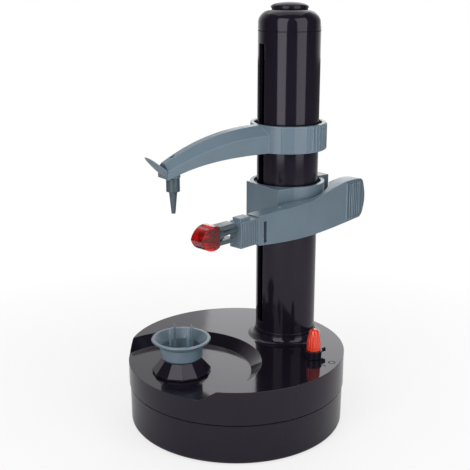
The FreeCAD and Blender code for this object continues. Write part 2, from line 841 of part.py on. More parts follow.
def upper_key():
    """Tongue in the slot of the tower, seated against the round inside of the collar."""
    tongue = slot_key("upper_tongue", "key_width", "upper_height - 6", "upper_z + 2", "key_reach",
                      "tower_radius + collar_gap + 1")
    inside = cylinder("collar_inside", "tower_radius + collar_gap", "upper_height", at_tower("upper_z"))
    return common("upper_key", tongue, inside)


def press_tab():
    """Leaf-shaped tab that rises from the tip of the upper arm."""
    length, half = v("tab_length"), v("tab_width") / 2
    start = Vector(0, -half * 0.5, 0)
    side = Part.Arc(start, Vector(length * 0.5, -half, 0), Vector(length, 0, 0)).toShape()
    other = Part.Arc(Vector(length, 0, 0), Vector(length * 0.5, half, 0), Vector(0, half * 0.5, 0)).toShape()
    back = Part.LineSegment(Vector(0, half * 0.5, 0), start).toShape()
    leaf = Part.Face(Part.Wire([side, other, back])).extrude(Vector(0, 0, v("tab_thickness")))
    tip_x = v("tower_offset") - v("spike_reach") - v("upper_tip_past")
    z = v("upper_z") - v("belly_drop")
    turn = Rotation(Vector(0, 1, 0), 45).multiply(Rotation(Vector(0, 0, 1), 180))
    leaf.Placement = Placement(Vector(1, 0, 0.8), turn)
    beyond = Part.makeBox(3 * length, 4 * length, 4 * length, Vector(0, -2 * length, -2 * length))
    return shape("press_tab", leaf.cut(beyond), Placement(Vector(tip_x, 0, z), Rotation()))


def food_spike():
    base_z = "upper_z - belly_drop - spike_gap"
    at = ("tower_offset - spike_reach", 0)
    stem = cylinder("spike_stem", "spike_stem_radius", "spike_stem_length",
                    (at[0], at[1], base_z + " - spike_stem_length"))
    point = cone("spike_point", "spike_tip_radius", "spike_top_radius", "spike_length - spike_stem_length",
                 (at[0], at[1], base_z + " - spike_length"))
    pin = cylinder("spike_pin", "spike_pin_radius", "7", (at[0], at[1], base_z + " - 1"))
    return fuse("food_spike", stem, point, pin)


# Peeling carriage
def carriage():
    ring_mass = collar_mass("carriage_ring", "carriage_height", "carriage_z")
    plate = box("carriage_plate", "plate_face", "plate_side_front + plate_side_back", "carriage_height",
                ("tower_offset - plate_face", "-plate_side_front", "carriage_z"))
    reach = math.hypot(v("tower_offset") - v("pivot_x"), v("pivot_y")) - v("tower_radius") - 2
    angle = math.degrees(math.atan2(-v("pivot_y"), v("pivot_x") - v("tower_offset"))) + 180
    lug = box("pivot_lug_bar", reach, "2 * lug_radius", "lug_height",
              ("pivot_x + lug_radius * sin(%s)" % angle, "-pivot_y - lug_radius * cos(%s)" % angle, "lug_z"), angle)
    eye = cylinder("pivot_lug_eye", "lug_radius", "lug_height", ("pivot_x", "-pivot_y", "lug_z"))
    turn = "(release_turn)"
    frame = box("release_frame", "collar_radius - tower_radius + release_depth", "release_width + 2 * release_wall",
                "release_height + 2 * release_wall",
                ("tower_offset + (tower_radius + 1) * cos%s + (release_width / 2 + release_wall) * sin%s"
                 % (turn, turn),
                 "(tower_radius + 1) * sin%s - (release_width / 2 + release_wall) * cos%s" % (turn, turn),
                 "release_z - release_height / 2 - release_wall"), "release_turn")
    mass = fuse("carriage_mass", ring_mass, plate, lug, eye, frame)
    well = box("release_well", "20", "release_width", "release_height",
               ("tower_offset + (collar_radius - 1) * cos%s + (release_width / 2) * sin%s" % (turn, turn),
                "(collar_radius - 1) * sin%s - (release_width / 2) * cos%s" % (turn, turn),
                "release_z - release_height / 2"), "release_turn")
    nut_well = slot_key("nut_well", "nut_width + 2 * nut_gap", "nut_height + 2 * nut_gap",
                        "carriage_z + 5 - nut_gap", "tower_radius", "tower_radius + collar_gap + nut_travel + 1")
    pin_bore = cylinder("pivot_lug_bore", "pivot_pin_radius", "lug_height", ("pivot_x", "-pivot_y", "lug_z"))
    bores = collar_bores("carriage", "carriage_height", "carriage_z")
    return cut("carriage", mass, well, nut_well, pin_bore, *bores)


def half_nut():
    return slot_key("half_nut", "nut_width", "nut_height", "carriage_z + 5",
                    "screw_radius + nut_gap", "tower_radius + collar_gap + 0.6")


def release_button():
    turn = "(release_turn)"
    return box("release_button", "release_depth - 1.5", "release_width - 0.6", "release_height - 0.6",
               ("tower_offset + (collar_radius + 1.4) * cos%s + (release_width / 2 - 0.3) * sin%s" % (turn, turn),
                "(collar_radius + 1.4) * sin%s - (release_width / 2 - 0.3) * cos%s" % (turn, turn),
                "release_z - release_height / 2 + 0.3"), "release_turn")


# Peeling arm, drawn along its own x axis and then turned about the pivot
def arm_frame():
    return Placement(Vector(v("pivot_x"), -v("pivot_y"), 0), Rotation(Vector(0, 0, 1), v("arm_turn")))


def arm_outline(inset):
    """Side outline of the peeling arm: a bar that rises into a round-ended paddle."""
    def p(x, z):
        return Vector(x, 0, z)
    left, start = inset - v("arm_blade_end"), v("paddle_start")
    corner, end = v("paddle_corner") - inset / 2, v("paddle_end") - inset
    bottom, top, crown = v("arm_bottom") + inset, v("arm_top") - inset, v("paddle_top") - inset
    tip = v("arm_tip_bottom") + inset
    upper = Part.BSplineCurve()
    upper.interpolate([p(left, top), p(0, top), p(start * 0.6, top + 1), p(start, crown - 1.8), p(corner, crown)])
    lower = Part.BSplineCurve()
    lower.interpolate([p(corner, bottom + 2.6), p(start, bottom + 0.6), p(start * 0.5, bottom),
                       p(0, bottom + 1.4), p(left, tip)])
    nose = Part.Arc(p(corner, crown), p(end, (bottom + crown) / 2 - 2), p(corner, bottom + 2.6))
    return Part.Wire([upper.toShape(), nose.toShape(), lower.toShape(),
                      Part.LineSegment(p(left, tip), p(left, top)).toShape()])


def peel_arm():
    face_y = -v("arm_face")
    wall = v("arm_wall")
    bar = Part.Face(arm_outline(0)).extrude(Vector(0, v("arm_depth"), 0))
    bar.translate(Vector(0, face_y, 0))
    hollow = Part.Face(arm_outline(wall)).extrude(Vector(0, v("arm_depth"), 0))
    hollow.translate(Vector(0, face_y + wall, 0))
    arm = bar.cut(hollow)
    tower = arm_frame().inverse().multVec(Vector(v("tower_offset"), 0, 0))
    below = v("arm_bottom") - v("arm_depth")
    through = v("paddle_top") + v("arm_depth") - below
    relief = Part.makeCylinder(v("collar_radius") + v("relief_gap"), through, Vector(tower.x, tower.y, below))
    arm = arm.cut(relief)
    pin_bore = Part.makeCylinder(v("pivot_pin_radius") + v("shaft_gap"), through, Vector(0, 0, below))
    window = Part.makeBox(3, 20, 14, Vector(-v("arm_blade_end") + 4.5, -15, v("head_z") - 12.5))
    tongue = Part.makeBox(8, v("tongue_width") + 2 * v("tongue_gap"), v("tongue_height") + 2 * v("tongue_gap"),
                          Vector(-v("arm_blade_end") - 4, -v("tongue_width") / 2 - v("tongue_gap"),
                                 v("arm_bottom") + 14 - v("tongue_height") / 2 - v("tongue_gap")))
    ribs = []
    count = int(v("paddle_rib_count"))
    for i in range(count):
        x = v("paddle_start") + 15 + (v("paddle_end") - v("paddle_start") - 18.5) * i / (count - 1)
        rib = Part.makeCylinder(0.7 * v("paddle_rib_depth"), through, Vector(x, face_y, below))
        ribs.append(rib)
    grips = Part.Face(arm_outline(1.5)).extrude(Vector(0, v("paddle_rib_depth") * 2, 0))
    grips.translate(Vector(0, face_y - v("paddle_rib_depth"), 0))
    arm = arm.cut(pin_bore).cut(window).cut(tongue)
    ribbing = ribs[0].multiFuse(ribs[1:]).common(grips)
    arm = arm.fuse(ribbing)
    return shape("peel_arm", arm.Solids[0], arm_frame())


def pivot_pin():
    return cylinder("pivot_pin", "pivot_pin_radius", "arm_top - arm_bottom + 0.6",
                    ("pivot_x", "-pivot_y", "arm_bottom + 0.2"))


def cartridge():
    x0 = -v("arm_blade_end") - 0.3
    length, height = v("grip_length"), v("grip_height")
    mid = v("arm_bottom") + 14
    block = Part.makeBox(length, v("arm_depth") - 1, height, Vector(x0 - length, -v("arm_face") - 0.3, mid - height / 2))
    count = int(length / v("grip_rib_pitch"))
    for i in range(count):
        groove = Part.makeBox(v("grip_rib_pitch") * 0.45, 2 * v("grip_step"), height,
                              Vector(x0 - length + 0.6 + i * v("grip_rib_pitch"),
                                     -v("arm_face") - 0.3 - v("grip_step"), mid - height / 2))
        block = block.cut(groove)
    step = Part.makeBox(length * 0.55, v("arm_depth") - 4, 2.2, Vector(x0 - length + 1, -v("arm_face") + 1.5,
                                                                       mid + height / 2))
    tongue = Part.makeBox(v("tongue_length") + 0.3, v("tongue_width"), v("tongue_height"),
                          Vector(x0, -v("tongue_width") / 2, mid - v("tongue_height") / 2))
    return shape("blade_cartridge", block.fuse(step).fuse(tongue), arm_frame())


def head_x():
    return -v("arm_blade_end") - 0.3 - v("grip_length")


def holder_rod():
    rod = Part.makeCylinder(v("rod_radius"), v("rod_length"), Vector(head_x() - v("rod_length"), -1.5, v("head_z")),
                            Vector(1, 0, 0))
    return shape("holder_rod", rod, arm_frame())


def blade_holder():
    """Hub that turns on the rod, with a fin above and below."""
    end = head_x() - v("rod_length")
    hub = Part.makeCylinder(v("hub_radius"), v("hub_length"), Vector(end, -1.5, v("head_z")), Vector(1, 0, 0))
    solid = hub
    for side in (1, -1):
        z = v("head_z") + side * v("fin_spread") - v("fin_thickness") / 2
        fin = Part.makeBox(v("fin_length"), v("fin_width"), v("fin_thickness"),
                           Vector(end, -1.5 - v("fin_width") / 2, z))
        solid = solid.fuse(fin)
        neck = Part.makeBox(v("hub_length"), 3.2, v("fin_spread"),
                            Vector(end, -3.1, v("head_z") if side > 0 else v("head_z") - v("fin_spread")))
        solid = solid.fuse(neck)
    bore = Part.makeCylinder(v("rod_radius") + v("head_gap"), 60, Vector(end - 20, -1.5, v("head_z")),
                             Vector(1, 0, 0))
    return shape("blade_holder", solid.cut(bore), arm_frame())


def guard_outline(inset):
    half = v("guard_height") / 2 - inset
    length = v("guard_length") - inset
    end = head_x() - v("rod_length")
    z = v("head_z")

    def p(x, dz):
        return Vector(end - x, 0, z + dz)
    edges = [Part.LineSegment(p(inset, -half), p(inset, half)).toShape(),
             Part.Arc(p(inset, half), p(length * 0.72, half * 0.92), p(length, 0)).toShape(),
             Part.Arc(p(length, 0), p(length * 0.72, -half * 0.92), p(inset, -half)).toShape()]
    return Part.Wire(edges)


def blade_guard():
    depth, wall = v("guard_depth"), v("guard_wall")
    outer = Part.Face(guard_outline(0)).extrude(Vector(0, depth, 0))
    outer.translate(Vector(0, -1.5 - depth / 2, 0))
    inner = Part.Face(guard_outline(wall)).extrude(Vector(0, depth, 0))
    inner.translate(Vector(0, -1.5 - depth / 2 + wall, 0))
    return shape("blade_guard", outer.cut(inner).cut(blade_strip()), arm_frame())


def blade_strip():
    """The blade before its slit, running from the hub through the end wall of the guard."""
    length = v("guard_length") * 0.68
    y = -1.5 + v("hub_radius") - 1.1
    return Part.makeBox(length, v("blade_thickness"), v("blade_height"),
                        Vector(head_x() - v("rod_length") - length, y, v("head_z") - v("blade_height") / 2))


def blade():
    """Slotted blade set in the guard, facing the food."""
    strip = blade_strip()
    box_ = strip.BoundBox
    end, y, length = box_.XMax - v("guard_wall"), box_.YMin, box_.XLength - v("guard_wall")
    slit = Part.makeBox(length * 0.75, 4, 1.4, Vector(end - length * 0.88, y - 1, v("head_z") - 0.7))
    return shape("blade", strip.cut(slit), arm_frame())


def main():
    centres = gear_centres()
    parts = [lower_housing(), upper_housing(), rubber_feet(), housing_screws()]
    parts += [battery_cells(), battery_contacts(), battery_door()]
    parts += [gear_plate(centres), gear_pins(centres), drive_motor(centres)] + drive_gears(centres)
    parts += [turntable_spindle(), lead_screw()] + bushes()
    parts += [drive_cone(), food_cup(), cup_prongs()]
    lever = power_lever()
    lever.Label = "power_lever"
    parts += [lever, lever_skirt(), micro_switch()]
    parts += [tower_tube(), tower_cap(), top_knob()]
    parts += [upper_arm(), upper_key(), press_tab(), food_spike()]
    parts += [carriage(), half_nut(), release_button(), peel_arm(), pivot_pin()]
    parts += [cartridge(), holder_rod(), blade_holder(), blade_guard(), blade()]
    doc.recompute()
    failed = [obj.Label for obj in doc.Objects if {"Invalid", "Error"} & set(obj.State)]
    for obj in parts:
        if obj.Shape.isNull() or not obj.Shape.isValid() or not obj.Shape.Solids:
            failed.append(obj.Label)
    if failed:
        raise RuntimeError("failed: " + ", ".join(failed))
    os.makedirs("parts", exist_ok=True)
    for obj in parts:
        obj.Shape.exportStep("parts/%s.step" % obj.Label)
        b = obj.Shape.BoundBox
        print("%-20s solids %d volume %9.1f  x %.1f..%.1f y %.1f..%.1f z %.1f..%.1f" % (
            obj.Label, len(obj.Shape.Solids), obj.Shape.Volume, b.XMin, b.XMax, b.YMin, b.YMax, b.ZMin, b.ZMax))


main()
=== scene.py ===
"""Electric potato peeler: a black battery base and tower, blue-grey arms, a red blade guard and switch."""

import bmesh
import bpy
import json
import math
from mathutils import Matrix, Vector


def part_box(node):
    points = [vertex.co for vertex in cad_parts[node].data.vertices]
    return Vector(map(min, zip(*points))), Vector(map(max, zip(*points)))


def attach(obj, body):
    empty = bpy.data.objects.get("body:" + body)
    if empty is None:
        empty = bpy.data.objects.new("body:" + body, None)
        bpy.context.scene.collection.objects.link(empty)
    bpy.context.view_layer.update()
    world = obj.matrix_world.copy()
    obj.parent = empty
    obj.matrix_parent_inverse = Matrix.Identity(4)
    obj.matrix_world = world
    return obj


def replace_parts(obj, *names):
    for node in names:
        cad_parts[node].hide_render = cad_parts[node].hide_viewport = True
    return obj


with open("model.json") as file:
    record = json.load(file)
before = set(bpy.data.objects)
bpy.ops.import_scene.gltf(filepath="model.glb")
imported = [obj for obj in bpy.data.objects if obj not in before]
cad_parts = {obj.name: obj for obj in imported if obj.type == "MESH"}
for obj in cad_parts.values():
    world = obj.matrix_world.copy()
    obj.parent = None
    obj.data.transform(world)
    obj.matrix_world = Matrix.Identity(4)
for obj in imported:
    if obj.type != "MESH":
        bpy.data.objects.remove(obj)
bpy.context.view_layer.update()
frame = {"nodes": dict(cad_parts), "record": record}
nodes = frame["nodes"]
MM = 0.001
UP = Vector((0, 0, 1))
ORIGIN = Vector((0, 0, 0))

# Places taken from the frame
tower_lo, tower_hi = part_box("tower_tube")
TOWER = Vector(((tower_lo.x + tower_hi.x) / 2, (tower_lo.y + tower_hi.y) / 2, 0))
TOWER_RADIUS = (tower_hi.x - tower_lo.x) / 2
TOWER_TOP = tower_hi.z
PLATFORM = tower_lo.z
housing_lo, housing_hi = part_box("upper_housing")
BASE_RADIUS = housing_hi.x
SEAM_Z = housing_lo.z

# Scales and depths shared by the finishes
TONE_SCALE = 45.0
SMUDGE_SCALE = 120.0
BUMP_DEPTH = 0.2 * MM
# Painted edge highlight: the turn of the softened normal over which it fades in, and how much it lightens the
# colour
EDGE_TURN = (0.88, 0.996)
HIGHLIGHT_GAIN = 1.6
HIGHLIGHT_LIFT = 0.06
COAT_ROUGHNESS = 0.06
FLOW_SCALE = 160.0
FLOW_STRETCH = (1, 1, 0.3)
FLOW_GLOSS_SCALE = 300.0
FLOW_BUMP_SCALE = 700.0
FLOW_BUMP = 0.06
CLEAR_SHARE = 0.9
CLEAR_IOR = 1.49


# Finishes
class Nodes:
    """Short hand for building one material's node tree."""

    def __init__(self, name):
        self.material = bpy.data.materials.new(name)
        self.material.use_nodes = True
        self.tree = self.material.node_tree
        self.shader = self.tree.nodes["Principled BSDF"]
        place = self.add("ShaderNodeTexCoord")
        self.place = place.outputs["Object"]

    def add(self, kind, **settings):
        node = self.tree.nodes.new(kind)
        for key, value in settings.items():
            setattr(node, key, value)
        return node

    def link(self, a, b):
        self.tree.links.new(a, b)

    def noise(self, scale, detail=3.0, stretch=(1, 1, 1)):
        mapping = self.add("ShaderNodeMapping")
        mapping.inputs["Scale"].default_value = stretch
        noise = self.add("ShaderNodeTexNoise")
        noise.inputs["Scale"].default_value = scale
        noise.inputs["Detail"].default_value = detail
        self.link(self.place, mapping.inputs["Vector"])
        self.link(mapping.outputs["Vector"], noise.inputs["Vector"])
        return noise.outputs["Fac"]

    def ranged(self, value, low, high, start=0.3, end=0.7):
        node = self.add("ShaderNodeMapRange")
        for socket, number in (("From Min", start), ("From Max", end), ("To Min", low), ("To Max", high)):
            node.inputs[socket].default_value = number
        self.link(value, node.inputs["Value"])
        return node.outputs["Result"]

    def mixed(self, factor, a, b):
        node = self.add("ShaderNodeMix", data_type="RGBA")
        for socket, value in ((node.inputs[6], a), (node.inputs[7], b)):
            if isinstance(value, tuple):
                socket.default_value = (*value, 1)
            else:
                self.link(value, socket)
        self.link(factor, node.inputs[0])
        return node.outputs[2]

    def relief(self, height, strength):
        """Bump from a height, linked to the shader; gives the bump node."""
        bump = self.add("ShaderNodeBump")
        bump.inputs["Strength"].default_value = strength
        bump.inputs["Distance"].default_value = BUMP_DEPTH
        self.link(height, bump.inputs["Height"])
        self.link(bump.outputs["Normal"], self.shader.inputs["Normal"])
        return bump


def scaled(colour, factor):
    return tuple(min(1.0, c * factor) for c in colour)


def finish(name, colour, rough, rough_spread=0.06, metal=0.0, grain=1800.0, relief=0.02,
           variation=0.08, edge_highlight=0.15, edge=0.25, stretch=(1, 1, 1), coat=0.0, specular=0.5,
           sheen_tint=(1, 1, 1)):
    """Moulded or metal finish: broad tone change, painted highlight along the edges, uneven gloss, fine
    relief and soft edges.
    """
    n = Nodes(name)
    tone = n.ranged(n.noise(TONE_SCALE), 0.0, 1.0)
    body = n.mixed(tone, scaled(colour, 1 - variation), scaled(colour, 1 + variation))
    soft = n.add("ShaderNodeBevel", samples=4)
    soft.inputs["Radius"].default_value = edge * MM
    turn = n.add("ShaderNodeVectorMath", operation="DOT_PRODUCT")
    n.link(soft.outputs["Normal"], turn.inputs[0])
    n.link(n.add("ShaderNodeNewGeometry").outputs["Normal"], turn.inputs[1])
    # Painted highlight: the colour is lightened where the softened normal turns away, along edges and creases
    highlight_mask = n.ranged(turn.outputs["Value"], edge_highlight, 0.0, *EDGE_TURN)
    light = tuple(min(1.0, c * HIGHLIGHT_GAIN + HIGHLIGHT_LIFT) for c in colour)
    n.link(n.mixed(highlight_mask, body, light), n.shader.inputs["Base Color"])
    smudge = n.noise(SMUDGE_SCALE, 6.0, stretch)
    n.link(n.ranged(smudge, rough, rough + rough_spread), n.shader.inputs["Roughness"])
    n.shader.inputs["Metallic"].default_value = metal
    n.shader.inputs["Specular IOR Level"].default_value = specular
    n.shader.inputs["Specular Tint"].default_value = (*sheen_tint, 1)
    n.shader.inputs["Coat Weight"].default_value = coat
    n.shader.inputs["Coat Roughness"].default_value = COAT_ROUGHNESS
    bump = n.relief(n.noise(grain, 4.0, stretch), relief)
    n.link(soft.outputs["Normal"], bump.inputs["Normal"])
    return n.material


def clear_finish(name, colour, rough):
    """Tinted see-through plastic with faint flow marks."""
    n = Nodes(name)
    flow = n.ranged(n.noise(FLOW_SCALE, 4.0, FLOW_STRETCH), 0.0, 1.0)
    n.link(n.mixed(flow, scaled(colour, 0.8), scaled(colour, 1.25)), n.shader.inputs["Base Color"])
    n.link(n.ranged(n.noise(FLOW_GLOSS_SCALE), rough, rough + 0.08), n.shader.inputs["Roughness"])
    n.shader.inputs["Transmission Weight"].default_value = CLEAR_SHARE
    n.shader.inputs["IOR"].default_value = CLEAR_IOR
    n.relief(n.noise(FLOW_BUMP_SCALE), FLOW_BUMP)
    return n.material


BLACK = (0.009, 0.007, 0.013)
GREY = (0.112, 0.16, 0.2)
DARK_GREY = (0.048, 0.072, 0.088)
# In each finish, the share given for the edges sets the painted highlight along them
finishes = {
    "black_gloss": finish("black_gloss", BLACK, 0.07, 0.05, relief=0.012, edge_highlight=0.5, edge=0.55, specular=0.3,
                          sheen_tint=(0.93, 0.88, 1.0)),
    "black_matte": finish("black_matte", (0.016, 0.015, 0.017), 0.42, 0.15, relief=0.1),
    "grey_satin": finish("grey_satin", GREY, 0.3, 0.1, relief=0.05, variation=0.07, edge_highlight=0.8, edge=0.6),
    "grey_pad": finish("grey_pad", scaled(GREY, 0.62), 0.34, 0.1, relief=0.05, edge_highlight=0.3, edge=0.3),
    "grey_dark": finish("grey_dark", DARK_GREY, 0.28, 0.1, relief=0.05, edge_highlight=0.5, edge=0.3),
    "red_orange": finish("red_orange", (0.66, 0.034, 0.007), 0.16, 0.08, relief=0.02, edge_highlight=0.2, coat=0.4),
    "red_clear": clear_finish("red_clear", (0.5, 0.005, 0.005), 0.04),
    "white_plastic": finish("white_plastic", (0.76, 0.75, 0.7), 0.38, 0.1, relief=0.05),
    "rubber": finish("rubber", (0.02, 0.02, 0.021), 0.72, 0.15, relief=0.3, grain=900.0),
    "steel": finish("steel", (0.62, 0.62, 0.63), 0.2, 0.15, metal=1.0, relief=0.05, stretch=(1, 1, 12)),
    "brass": finish("brass", (0.72, 0.52, 0.22), 0.25, 0.12, metal=1.0, relief=0.04),
    "spring_metal": finish("spring_metal", (0.66, 0.64, 0.58), 0.22, 0.12, metal=1.0, relief=0.04),
    "motor_can": finish("motor_can", (0.5, 0.5, 0.52), 0.3, 0.12, metal=0.85, relief=0.06,
                        stretch=(1, 12, 1)),
    "cell_jacket": finish("cell_jacket", (0.03, 0.09, 0.2), 0.2, 0.1, relief=0.02, coat=0.3),
    # Near black, for the housing and cap joints, and as painted shade for the screws' cross recesses
    "groove": finish("groove", (0.0015, 0.0015, 0.002), 0.8, 0.15, relief=0.05, edge_highlight=0.0, specular=0.1),
    "mark": finish("mark", (0.042, 0.041, 0.047), 0.6, 0.1, relief=0.05, edge_highlight=0.0, specular=0.1),
}

# Every node takes its slot's finish, apart from the pivot pin, whose end is grey like the arms
finish_of = {part["node"]: part["material_slot"] for part in frame["record"]["subparts"]}
finish_of["pivot_pin"] = "grey_satin"
for name, node in nodes.items():
    node.data.materials.clear()
    node.data.materials.append(finishes[finish_of[name]])


# Mesh helpers
SHARP_ANGLE = math.radians(38)
SQUARE = ((-1, -1), (1, -1), (1, 1), (-1, 1))


def piece(name, mesh_data, body, material, smooth=True):
    mesh = bpy.data.meshes.new(name)
    mesh_data.normal_update()
    bmesh.ops.recalc_face_normals(mesh_data, faces=mesh_data.faces)
    mesh_data.to_mesh(mesh)
    mesh_data.free()
    for polygon in mesh.polygons:
        polygon.use_smooth = smooth
    if smooth:
        mesh.set_sharp_from_angle(angle=SHARP_ANGLE)
    obj = bpy.data.objects.new(name, mesh)
    bpy.context.scene.collection.objects.link(obj)
    mesh.materials.append(finishes[material])
    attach(obj, body)
    return obj


def skin(rows, cap=True):
    """Mesh through rows of points, each row a closed ring."""
    bm = bmesh.new()
    made = [[bm.verts.new(p) for p in row] for row in rows]
    count = len(made[0])
    for low, high in zip(made, made[1:]):
        for i in range(count):
            j = (i + 1) % count
            bm.faces.new((low[i], low[j], high[j], high[i]))
    if cap:
        bm.faces.new(made[0][::-1])
        bm.faces.new(made[-1])
    return bm


def turned(profile, centre, around, wobble=None):
    """Rings at each (radius, height) of a profile; wobble(angle, height) scales the radius."""
    rows = []
    for radius, z in profile:
        row = []
        for i in range(around):
            a = math.tau * i / around
            r = radius * (wobble(a, z) if wobble else 1)
            row.append(centre + Vector((r * math.cos(a), r * math.sin(a), z)))
        rows.append(row)
    return rows


def polar(centre, radius, degrees, z):
    """Point at a bearing in degrees from +X round a centre."""
    a = math.radians(degrees)
    return centre + Vector((radius * math.cos(a), radius * math.sin(a), z))


def rectangle(middle, along, across):
    """Corners of a flat rectangle from its middle and its two half sides."""
    return [middle + along * x + across * y for x, y in SQUARE]


def plank(corners, thickness, direction):
    """Flat plate over a polygon, thick along a direction."""
    bm = bmesh.new()
    low = [bm.verts.new(c) for c in corners]
    high = [bm.verts.new(c + direction * thickness) for c in corners]
    bm.faces.new(low[::-1])
    bm.faces.new(high)
    for i in range(len(corners)):
        j = (i + 1) % len(corners)
        bm.faces.new((low[i], low[j], high[j], high[i]))
    return bm


def soft_edges(obj, width):
    bevel = obj.modifiers.new("soft_edges", "BEVEL")
    bevel.width = width
    bevel.segments = 2
    bevel.limit_method = "ANGLE"


# Lead screw with its thread
screw_lo, screw_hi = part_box("lead_screw")
SCREW_PITCH = 3.0 * MM
THREAD_DEPTH = 0.9 * MM
THREAD_ROOM = 14 * MM
THREAD_CREST = 0.72
THREAD_FLANK = 0.3
RINGS_PER_PITCH = 10
SCREW_SIDES = 36


def thread_height(phase):
    """Trapezoidal thread form: 1 on the crest, 0 in the root."""
    x = abs((phase % 1.0) - 0.5) * 2
    return min(1.0, max(0.0, (THREAD_CREST - x) / THREAD_FLANK))


def thread_rows():
    radius = (screw_hi.x - screw_lo.x) / 2
    length = screw_hi.z - screw_lo.z
    steps = int(length / (SCREW_PITCH / RINGS_PER_PITCH))
    rows = []
    for i in range(steps + 1):
        z = screw_lo.z + length * i / steps
        ends = min(z - screw_lo.z, screw_hi.z - z)
        depth = THREAD_DEPTH * min(1.0, max(0.0, (ends - THREAD_ROOM) / SCREW_PITCH))
        row = []
        for k in range(SCREW_SIDES):
            a = math.tau * k / SCREW_SIDES
            r = radius - depth * (1 - thread_height(z / SCREW_PITCH - k / SCREW_SIDES))
            row.append(TOWER + Vector((r * math.cos(a), r * math.sin(a), z)))
        rows.append(row)
    return rows


screw = piece("threaded_screw", skin(thread_rows()), "screw", "grey_dark")
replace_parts(screw, "lead_screw")

# Ribbed bullet cap of the switch lever, a little shorter than the lever's solid
lever_lo, lever_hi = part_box("power_lever")
LEVER = Vector(((lever_lo.x + lever_hi.x) / 2, (lever_lo.y + lever_hi.y) / 2, 0))
LEVER_RADIUS = (lever_hi.x - lever_lo.x) / 2
LEVER_SHARE = 0.88
LEVER_HEIGHT = LEVER_SHARE * (lever_hi.z - lever_lo.z)
LEVER_RIBS = 14
LEVER_SIDES = 168
RIB_DEPTH = 0.075
RIB_END = 0.78
RIB_FADE = 0.1
BULLET = ((0.9, 0.0), (1.0, 0.01), (1.0, 0.12), (0.985, 0.3), (0.95, 0.45), (0.86, 0.6), (0.77, 0.74),
          (0.71, 0.83), (0.65, 0.9), (0.55, 0.95), (0.4, 0.98), (0.2, 0.995), (0.02, 1.0))


def lever_ribs(angle, z):
    t = (z - lever_lo.z) / LEVER_HEIGHT
    fade = min(1.0, max(0.0, (RIB_END - t) / RIB_FADE))
    return 1 - RIB_DEPTH * fade * (0.5 - 0.5 * math.cos(LEVER_RIBS * angle)) ** 2


lever_profile = [(LEVER_RADIUS * r, lever_lo.z + LEVER_HEIGHT * h) for r, h in BULLET]
lever_rows = turned(lever_profile, LEVER, LEVER_SIDES, lever_ribs)
lever = piece("ribbed_lever_cap", skin(lever_rows), "lever", "red_orange")
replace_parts(lever, "power_lever")

# Domed cap with a sloping shoulder, and the low round knob on it
cap_lo, cap_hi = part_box("tower_cap")
knob_lo, knob_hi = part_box("top_knob")
SPIGOT_RADIUS = TOWER_RADIUS - 2.7 * MM
KNOB_RADIUS = (knob_hi.x - knob_lo.x) / 2
SHOULDER = ((1.0, 0.0), (1.0, 0.42), (0.99, 0.52), (0.965, 0.62), (0.92, 0.73), (0.86, 0.83),
            (0.79, 0.91), (0.72, 0.965), (0.66, 0.99), (0.6, 1.0), (0.02, 1.0))
DOME = ((0.93, 0.0), (0.96, 0.06), (0.96, 0.16), (1.0, 0.2), (1.0, 0.34), (0.97, 0.46), (0.9, 0.6),
        (0.78, 0.74), (0.62, 0.86), (0.42, 0.95), (0.2, 0.99), (0.02, 1.0))
cap_profile = [(SPIGOT_RADIUS, cap_lo.z), (SPIGOT_RADIUS, TOWER_TOP)]
cap_profile += [(TOWER_RADIUS * r, TOWER_TOP + (cap_hi.z - TOWER_TOP) * h) for r, h in SHOULDER]
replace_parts(piece("domed_cap", skin(turned(cap_profile, TOWER, 160)), "base", "black_gloss"), "tower_cap")
knob_profile = [(KNOB_RADIUS * r, knob_lo.z + (knob_hi.z - knob_lo.z) * h) for r, h in DOME]
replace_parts(piece("domed_knob", skin(turned(knob_profile, TOWER, 128)), "base", "black_gloss"), "top_knob")

# Joint lines of the housing and the tower
SEAM_PROUD = 0.06 * MM
SEAM_DEEP = 0.4 * MM
SEAM_ROUND = 0.05 * MM
HOUSING_SEAM = 1.0 * MM
HOUSING_SEAM_IN = 0.35 * MM
CAP_SEAM = 0.45 * MM


def seam_line(name, radius, z, width, centre):
    """Thin closed band in the joint between two mouldings of the base."""
    half = width / 2
    out = radius + SEAM_PROUD
    rim = out - SEAM_ROUND
    deep = radius - SEAM_DEEP
    profile = [(deep, z - half), (rim, z - half), (out, z), (rim, z + half), (deep, z + half)]
    piece(name, skin(turned(profile, centre, 160), cap=False), "base", "groove")


seam_line("housing_joint", BASE_RADIUS - HOUSING_SEAM_IN, SEAM_Z - HOUSING_SEAM / 2, HOUSING_SEAM, ORIGIN)
seam_line("cap_joint", TOWER_RADIUS, TOWER_TOP, CAP_SEAM, TOWER)

# Off and on marks on the platform beside the switch
MARK_OFF = Vector((36.0 * MM, -60.2 * MM, PLATFORM))
MARK_ON = Vector((28.6 * MM, -60.4 * MM, PLATFORM))
MARK_SIZE = 2.5 * MM
MARK_LINE = 0.7 * MM
MARK_HIGH = 0.04 * MM
MARK_INNER = MARK_SIZE - MARK_LINE
mark_ring = [(MARK_INNER, 0), (MARK_INNER, MARK_HIGH), (MARK_SIZE, MARK_HIGH), (MARK_SIZE, 0)]
piece("mark_off", skin(turned(mark_ring, MARK_OFF, 48), cap=False), "base", "mark")
mark_bar = rectangle(MARK_ON, Vector((MARK_LINE / 2, 0, 0)), Vector((0, MARK_SIZE, 0)))
piece("mark_on", plank(mark_bar, MARK_HIGH, UP), "base", "mark", smooth=False)

